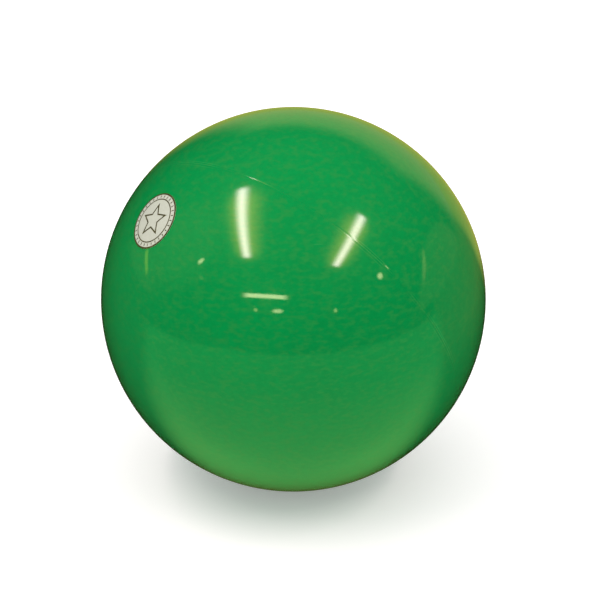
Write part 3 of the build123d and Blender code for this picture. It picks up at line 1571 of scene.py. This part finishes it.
@dataclass(frozen=True)
class Patch:
    """A patch of the room, far away, that only gloss sees.

    Attributes:
        heading: its middle.
        half_width: half its width, in degrees.
        half_height: half its height, in degrees.
        glow: radiance of each channel.
        soft: share of its half size over which its edge fades.
        lean: turn about its own middle, in degrees.
        outline: rectangle or ellipse.
    """

    heading: Heading
    half_width: float
    half_height: float
    glow: Colour
    soft: float = 0.5
    lean: float = 0.0
    outline: Outline = Outline.ELLIPSE

    def seen(self, nodes: Nodes, towards: Socket) -> Socket:
        """How much of the patch lies in a direction.

        x = direction . right / direction . middle, and y likewise with up. Both are measured
        in half sizes, and the mask falls smoothly from 1 to 0 about 1.

        Args:
            nodes: the world's tree.
            towards: unit direction socket.

        Returns:
            Share from 0 to 1.
        """
        pole = self.heading.vector()
        right, up = leaning_axes(pole, self.lean)
        facing = nodes.dot(towards, pole)
        ahead = nodes.larger(facing, 0.05)
        sides = []
        for axis, half in ((right, self.half_width), (up, self.half_height)):
            reach = math.tan(math.radians(half))
            sides.append(nodes.math("DIVIDE", nodes.dot(towards, axis / reach), ahead))
        if self.outline is Outline.ELLIPSE:
            off = nodes.length(*sides)
        else:
            off = nodes.larger(*(nodes.math("ABSOLUTE", side) for side in sides))
        share = nodes.ramp(off, 1.0 - self.soft, 1.0 + self.soft, 1.0, 0.0)
        return nodes.times(share, nodes.math("GREATER_THAN", facing, 0.0))


@dataclass(frozen=True)
class Tube:
    """A straight ceiling light, as a flat panel facing down.

    Attributes:
        name: object name.
        start: one end, in plan.
        end: the other end, in plan.
        radiance: brightness along its middle.
        height: above the ball's centre.
        width: the panel's width.
        colour: tint.
        end_fade: fade over its last few percent, from its middle at 0 to its end at 1.
        side_fade: fade from its middle line at 0 to its side at 1, before it is squared.
        halo_radiance: brightness of the ceiling beside the panel.
        halo_colour: tint of that ceiling.
        halo_inset: how far inside the tube's ends the halo's own ends lie, in widths.
        halo_fade: fade of the halo away from the tube, in widths, before it is squared.
    """

    name: str
    start: tuple[float, float]
    end: tuple[float, float]
    radiance: float = 17.5
    height: float = 1.5
    width: float = 0.4
    colour: Colour = (1.0, 0.82, 0.83)
    end_fade: Ramp = (0.86, 1.0, 1.0, 0.0)
    side_fade: Ramp = (0.0, 1.0, 1.0, 0.0)
    halo_radiance: float = 3.6
    halo_colour: Colour = (1.0, 0.75, 0.1)
    halo_inset: float = 0.75
    halo_fade: tuple[float, float] = (0.1, 1.25)

    def build(self) -> None:
        """Makes the area light: power = pi * area * radiance, bright along its middle."""
        start, end = np.array(self.start), np.array(self.end)
        length = float(np.linalg.norm(end - start))
        light = bpy.data.lights.new(self.name, "AREA")
        light.shape = "RECTANGLE"
        light.size, light.size_y = length, self.width
        light.energy = math.pi * length * self.width * self.radiance
        light.color = self.colour
        self.profile(light)
        lamp = bpy.data.objects.new(self.name, light)
        middle = (start + end) / 2.0
        lamp.location = (middle[0], middle[1], self.height)
        lamp.rotation_euler = (0.0, 0.0, math.atan2(end[1] - start[1], end[0] - start[0]))
        lamp.visible_camera = False
        bpy.context.scene.collection.objects.link(lamp)

    def halo(self, nodes: Nodes, towards: Socket) -> Socket:
        """Ceiling lit round the tube, as gloss sees it.

        A direction meets the ceiling at height / z * (x, y). With u the unit vector along
        the tube, the nearest point of it lies clamp((meeting - start) . u, inset, length -
        inset) along it, and the glow is the square of a smooth step of the distance there.

        Args:
            nodes: the world's tree.
            towards: unit direction socket.

        Returns:
            Colour socket.
        """
        start, end = np.array(self.start), np.array(self.end)
        length = float(np.linalg.norm(end - start))
        along = (end - start) / length
        rise = nodes.larger(nodes.dot(towards, UPRIGHT), 0.02)
        shift = []
        for axis in (along, np.array([-along[1], along[0]])):
            run = nodes.dot(towards, (*(axis * self.height), 0.0))
            shift.append(nodes.math("SUBTRACT", nodes.math("DIVIDE", run, rise), start @ axis))
        inset = self.width * self.halo_inset
        inside = nodes.math("MINIMUM", nodes.larger(shift[0], inset), length - inset)
        off = nodes.length(shift[1], nodes.math("SUBTRACT", shift[0], inside))
        near = nodes.ramp(off, *(self.width * reach for reach in self.halo_fade), 1.0, 0.0)
        return nodes.tint(self.halo_colour, nodes.times(nodes.times(near, near), self.halo_radiance))

    def profile(self, light: bpy.types.Light) -> None:
        """Fades the panel from its middle line to its sides, and over its last few percent.

        Args:
            light: the area light.
        """
        light.use_nodes = True
        nodes = Nodes(light.node_tree)
        parts = nodes.axes(nodes.add("ShaderNodeNewGeometry").outputs["Parametric"])
        along, across = (
            nodes.math("ABSOLUTE", nodes.times_plus(parts[axis], 2.0, -1.0)) for axis in "XY"
        )
        sides = nodes.math("POWER", nodes.ramp(across, *self.side_fade), 2.0)
        strength = nodes.times(nodes.ramp(along, *self.end_fade), sides)
        glow = nodes.add("ShaderNodeEmission", {"Strength": strength})
        nodes.add("ShaderNodeOutputLight", {"Surface": glow.outputs[0]})


@dataclass(frozen=True)
class FloorGloss:
    """The floor as gloss sees it: lit in front, dim behind the ball, with a pale sweep.

    The floor is lit in front of a line just ahead of the ball's middle and dim behind it.
    The sweep is a wedge of the floor behind the ball, bounded by two slopes x / y.

    Attributes:
        warm: tint of the lit floor.
        green: light that the ball itself throws on the floor in front of it.
        meeting: depth at which front turns to back.
        far_end: fade far from the ball.
        left_end: fade on the left.
        near: brightness in front, away from the ball.
        contact: dimming close to where the ball stands.
        right: brightness behind, from left to right.
        foot: brightness behind, close to where the ball stands.
        wedge_left: left side of the sweep, in slope.
        wedge_right: right side of the sweep, in slope, with its brightness.
        wedge_start: depth at which the sweep begins.
        green_start: fade of the green close to where the ball stands.
    """

    warm: Colour = (1.0, 0.94, 0.16)
    green: Colour = (0.0, 0.58, 0.15)
    meeting: Ramp = (-0.08, -0.01)
    far_end: Ramp = (0.9, 1.5, 1.0, 0.0)
    left_end: Ramp = (-0.85, -0.6)
    near: Ramp = (0.09, 0.34, 0.4, 0.13)
    contact: Ramp = (0.02, 0.11, 0.2)
    right: Ramp = (0.18, 0.4, 0.02, 0.12)
    foot: Ramp = (0.05, 0.1, 0.05, 0.0)
    wedge_left: Ramp = (-0.4, -0.1)
    wedge_right: Ramp = (0.7, 1.0, 0.46, 0.0)
    wedge_start: Ramp = (0.2, 0.4)
    green_start: Ramp = (0.02, 0.1)

    def seen(self, nodes: Nodes, place: Socket, away: Socket) -> Socket:
        """Colour of the floor in the gloss.

        Args:
            nodes: the floor's tree.
            place: position on the floor.
            away: distance from under the ball's centre.

        Returns:
            Colour socket.
        """
        parts = nodes.axes(place)
        aside, depth = parts["X"], parts["Y"]
        ends = nodes.times(nodes.ramp(away, *self.far_end), nodes.ramp(aside, *self.left_end))
        lit = nodes.times(nodes.ramp(away, *self.near), nodes.ramp(away, *self.contact))
        dim = nodes.larger(nodes.ramp(aside, *self.right), nodes.ramp(away, *self.foot))
        slope = nodes.math("DIVIDE", aside, nodes.larger(depth, 0.01))
        wedge = nodes.times(
            nodes.ramp(slope, *self.wedge_left), nodes.ramp(slope, *self.wedge_right)
        )
        wedge = nodes.times(wedge, nodes.ramp(depth, *self.wedge_start))
        front = nodes.times(nodes.ramp(depth, *self.meeting, 1.0, 0.0), ends)
        back = nodes.times(nodes.ramp(depth, *self.meeting), nodes.larger(dim, wedge))
        warm = nodes.tint(self.warm, nodes.times_plus(front, lit, back))
        green = nodes.times(front, nodes.ramp(away, *self.green_start))
        return nodes.both(warm, nodes.tint(self.green, green))


BACKDROP = (0.47, 0.46, 0.16)
WALL = (0.18, 0.18, 0.05)
LAMP = (9.0, 8.6, 4.5)
FAINT_LAMP = (5.0, 5.0, 2.0)
DARK_ROOM = (0.003, 0.004, 0.003)


@dataclass
class Studio:
    """Pale floor, soft light from above, what the gloss reflects, and the camera.

    Attributes:
        radius: the ball's radius, so the floor lies that far under its centre.
        camera_heading: where the camera stands, seen from the ball.
        camera_distance: from the ball's centre.
        lens: focal length in millimetres.
        aim: offset of the aim point from the ball's centre, right and up.
        dome_low: radiance of the soft dome at the horizon.
        dome_high: radiance of the soft dome overhead.
        floor_size: side of the floor.
        floor_glow: light that the floor gives off by itself.
        floor_bounce: share of light that it throws back on the ball.
        floor_white: share of light that it throws back to the eye.
        floor_fade: white added for the eye with distance, over floor_glow.
        floor_gloss: the floor as gloss sees it.
        tubes: the ceiling lights.
        room: what the gloss reflects.
    """

    radius: float = 108.0 * MM
    camera_heading: Heading = Heading(180.0, 26.0)
    camera_distance: float = 1.5
    lens: float = 160.0
    aim: tuple[float, float] = (3.7 * MM, -0.45 * MM)
    dome_low: float = 0.16
    dome_high: float = 1.2
    floor_size: float = 40.0
    floor_glow: float = 0.08
    floor_bounce: float = 0.7
    floor_white: float = 0.9
    floor_fade: Ramp = (0.15, 1.2, 0.2, 1.0)
    floor_gloss: FloorGloss = FloorGloss()
    tubes: tuple[Tube, ...] = (
        Tube("ceiling_tube_left", (-0.65, 0.27), (-0.93, -1.24)),
        Tube("ceiling_tube_right", (1.07, -0.11), (0.91, -1.5)),
    )
    room: tuple[Patch, ...] = (
        Patch(Heading(14.0, -2.0), 27.0, 31.0, BACKDROP, 0.3, outline=Outline.RECTANGLE),
        Patch(Heading(75.0, -8.0), 28.0, 27.0, WALL, 0.06),
        Patch(Heading(87.0, 14.5), 7.0, 1.3, (1.0, 1.0, 0.3), 0.5, 39.0),
        Patch(Heading(268.0, 30.0), 19.0, 20.0, (0.2, 0.2, 0.06), 0.5),
        Patch(Heading(288.0, 4.0), 18.0, 12.0, (0.14, 0.13, 0.04), 0.5),
        Patch(Heading(286.4, 7.9), 4.8, 1.2, (1.25, 1.8, 0.1), 0.4, -28.0, Outline.RECTANGLE),
        Patch(Heading(198.4, 26.6), 11.8, 1.1, (12.0, 11.5, 6.5), 0.25, 4.5, Outline.RECTANGLE),
        Patch(Heading(189.6, 18.8), 2.8, 1.0, LAMP, 0.5, 3.0),
        Patch(Heading(203.0, 18.0), 1.0, 0.9, FAINT_LAMP, 0.5),
        Patch(Heading(154.4, 17.3), 1.0, 1.0, FAINT_LAMP, 0.5),
        Patch(Heading(119.5, 26.5), 1.6, 1.5, LAMP, 0.5),
        Patch(Heading(249.8, 31.0), 1.9, 1.1, LAMP, 0.5, 63.0),
        Patch(Heading(243.5, 24.3), 1.5, 1.0, (1.0, 1.0, 0.3), 0.5),
    )

    def floor(self) -> None:
        """Makes the plain pale floor, matt to the eye and to the light.

        To the eye, the white that it gives off by itself lightens the ball's shadow, and
        more so far from the ball.
        """
        side, low = self.floor_size / 2.0, -self.radius
        mesh = bpy.data.meshes.new("studio_floor")
        corners = [(-side, -side, low), (side, -side, low), (side, side, low), (-side, side, low)]
        mesh.from_pydata(corners, [], [(0, 1, 2, 3)])
        floor = bpy.data.objects.new("studio_floor", mesh)
        bpy.context.scene.collection.objects.link(floor)
        material = bpy.data.materials.new("studio_floor")
        material.use_nodes = True
        nodes = Nodes(material.node_tree)
        place = nodes.add("ShaderNodeTexCoord").outputs["Object"]
        away = nodes.vector("LENGTH", {0: nodes.stretched(place, (1.0, 1.0, 0.0))}, "Value")
        path = nodes.add("ShaderNodeLightPath").outputs
        eye = path["Is Camera Ray"]
        white = nodes.ramp(eye, 0.0, 1.0, self.floor_bounce, self.floor_white)
        matt = nodes.add("ShaderNodeBsdfDiffuse", {"Color": white})
        lift = nodes.times_plus(eye, nodes.ramp(away, *self.floor_fade), self.floor_glow)
        glow = nodes.add("ShaderNodeEmission", {"Strength": lift})
        lit = nodes.add("ShaderNodeAddShader", {0: matt.outputs[0], 1: glow.outputs[0]})
        # Painted reflection: gloss sees the floor as an emission, lit in front, with a painted
        # shadow behind and under the ball.
        colour = self.floor_gloss.seen(nodes, place, away)
        gloss = nodes.add("ShaderNodeEmission", {"Color": colour})
        shaders = {0: path["Is Glossy Ray"], 1: lit.outputs[0], 2: gloss.outputs[0]}
        seen = nodes.add("ShaderNodeMixShader", shaders)
        nodes.add("ShaderNodeOutputMaterial", {"Surface": seen.outputs[0]})
        mesh.materials.append(material)

    def dome(self) -> None:
        """World: plain white to the camera, a soft dome to the light, the room to the gloss."""
        world = bpy.data.worlds.new("studio_dome")
        bpy.context.scene.world = world
        world.use_nodes = True
        nodes = Nodes(world.node_tree)
        towards = nodes.add("ShaderNodeTexCoord").outputs["Generated"]
        height = nodes.dot(towards, UPRIGHT)
        soft = nodes.ramp(height, -0.1, 1.0, self.dome_low, self.dome_high)
        glows = [nodes.tint(patch.glow, patch.seen(nodes, towards)) for patch in self.room]
        glows += [tube.halo(nodes, towards) for tube in self.tubes]
        room: Value = DARK_ROOM
        for glow in glows:
            room = nodes.both(room, glow)
        path = nodes.add("ShaderNodeLightPath")
        colour = nodes.blend(path.outputs["Is Glossy Ray"], soft, room)
        colour = nodes.blend(path.outputs["Is Camera Ray"], colour, (1.0, 1.0, 1.0))
        shader = nodes.add("ShaderNodeBackground", {"Color": colour})
        nodes.add("ShaderNodeOutputWorld", {"Surface": shader.outputs[0]})

    def camera(self) -> None:
        """Camera on its heading, looking at the aim point, level from side to side."""
        back = self.camera_heading.vector()
        level, up = cross_axes(back)
        spot = back * self.camera_distance
        look = spot - self.aim[0] * level - self.aim[1] * up
        view = bpy.data.cameras.new("studio_camera")
        view.lens, view.sensor_width = self.lens, 36.0
        view.clip_start, view.clip_end = 0.01, 200.0
        eye = bpy.data.objects.new("studio_camera", view)
        bpy.context.scene.collection.objects.link(eye)
        eye.location = spot.tolist()
        eye.rotation_mode = "QUATERNION"
        towards = Vector((-look).tolist())
        eye.rotation_quaternion = towards.to_track_quat("-Z", "Y")
        bpy.context.scene.camera = eye

    def build(self) -> None:
        """Sets up the floor, dome, lights, camera and the display of colour."""
        self.floor()
        self.dome()
        for tube in self.tubes:
            tube.build()
        self.camera()
        bpy.context.scene.view_settings.view_transform = "Standard"


def main() -> None:
    """Builds the ball from the inside out, then the studio."""
    logging.basicConfig(level=logging.INFO, format="%(message)s")
    layers = Layers()
    layers.check()
    for part in (
        Bladder(layers), Winding(layers), Cushion(layers), Cover(layers), Valve(), Badge(), Studio()
    ):
        LOG.info("building %s", type(part).__name__)
        part.build()


if __name__ == "__main__":
    main()
